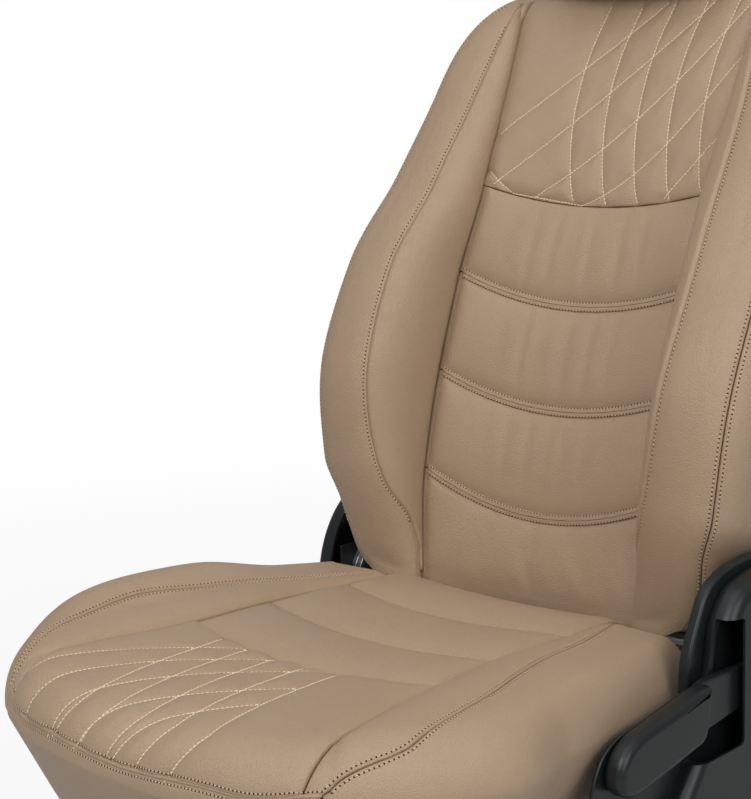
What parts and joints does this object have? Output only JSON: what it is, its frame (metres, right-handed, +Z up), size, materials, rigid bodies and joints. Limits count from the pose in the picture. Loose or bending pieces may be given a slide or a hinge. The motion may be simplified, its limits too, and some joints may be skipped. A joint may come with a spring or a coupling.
{
  "type": "car seat with fitted cover set",
  "caption": "Front car seat dressed in a tailored leatherette cover set with quilted centre panels, padded cross pads, side bolsters, recline lever and slide rails.",
  "frame": {"origin": "on the floor at the centre of the footprint, on the seat's centre plane", "axes": "+Z up; the seat faces -Y; +X is the outboard side with the recline lever (the occupant's left)"},
  "size_m": [0.58, 0.7988, 1.0763],
  "materials": {
    "leatherette": "fine pebble grain, soft satin sheen",
    "foam": "open-cell cushion foam",
    "steel_black": "semi-gloss black electrocoat",
    "zinc": "bright zinc plate",
    "chrome": "polished chrome",
    "black_plastic": "fine texture, satin"
  },
  "bodies": {
    "floor_rails": {"slide_rail_lower_left": "steel_black", "floor_bolt_front_left": "zinc", "floor_bolt_rear_left": "zinc", "slide_rail_lower_right": "steel_black", "floor_bolt_front_right": "zinc", "floor_bolt_rear_right": "zinc"},
    "carriage": {"seat_pad_rear": "leatherette", "seat_pad_middle": "leatherette", "seat_pad_front": "leatherette", "seat_quilt_panel": "leatherette", "seat_front_skirt": "leatherette", "cushion_foam": "foam", "cushion_front_pan": "steel_black", "cushion_rear_tube": "steel_black", "cushion_sinuous_spring": "zinc", "lever_return_spring": "zinc", "side_shield": "black_plastic", "hinge_cap": "black_plastic", "seat_bolster_top_left": "leatherette", "seat_side_skirt_left": "leatherette", "recliner_fixed_left": "zinc", "recliner_bracket_left": "steel_black", "cushion_side_member_left": "steel_black", "slide_rail_upper_left": "steel_black", "seat_bolster_top_right": "leatherette", "seat_side_skirt_right": "leatherette", "recliner_fixed_right": "zinc", "recliner_bracket_right": "steel_black", "cushion_side_member_right": "steel_black", "slide_rail_upper_right": "steel_black"},
    "backrest": {"back_quilt_panel": "leatherette", "back_pad_1": "leatherette", "back_pad_2": "leatherette", "back_pad_3": "leatherette", "back_pad_4": "leatherette", "back_side_band": "leatherette", "back_rear_panel": "leatherette", "back_map_pocket": "leatherette", "backrest_foam": "foam", "back_frame_hoop": "steel_black", "back_cross_member": "steel_black", "back_sinuous_spring": "zinc", "back_bolster_inner_left": "leatherette", "back_bolster_outer_left": "leatherette", "headrest_guide_left": "black_plastic", "back_arm_left": "steel_black", "recliner_moving_left": "zinc", "back_bolster_inner_right": "leatherette", "back_bolster_outer_right": "leatherette", "headrest_guide_right": "black_plastic", "back_arm_right": "steel_black", "recliner_moving_right": "zinc"},
    "headrest": {"headrest_post": "chrome", "headrest_foam": "foam", "headrest_cover": "leatherette"},
    "release_lever": {"recliner_cross_rod": "zinc", "recline_lever": "black_plastic"},
    "release_bar": {"slide_release_bar": "zinc"},
    "lock_button": {"headrest_lock_button": "black_plastic"}
  },
  "joints": [
    {"name": "seat_slide", "type": "slide", "parent": "floor_rails", "child": "carriage", "axis": [0, -1, 0], "range_m": [-0.09, 0.09]},
    {"name": "backrest_recline", "type": "hinge", "parent": "carriage", "child": "backrest", "pos_m": [0, 0.164, 0.282], "axis": [-1, 0, 0], "range_deg": [-8, 45]},
    {"name": "headrest_height", "type": "slide", "parent": "backrest", "child": "headrest", "axis": [0, 0.284, 0.9588], "range_m": [0, 0.07]},
    {"name": "lever_lift", "type": "hinge", "parent": "carriage", "child": "release_lever", "pos_m": [0.274, 0.164, 0.282], "axis": [-1, 0, 0], "range_deg": [0, 18]},
    {"name": "bar_lift", "type": "hinge", "parent": "carriage", "child": "release_bar", "pos_m": [0, 0.124, 0.104], "axis": [-1, 0, 0], "range_deg": [0, 6]},
    {"name": "lock_press", "type": "slide", "parent": "backrest", "child": "lock_button", "axis": [-1, 0, 0], "range_m": [0, 0.003]}
  ]
}
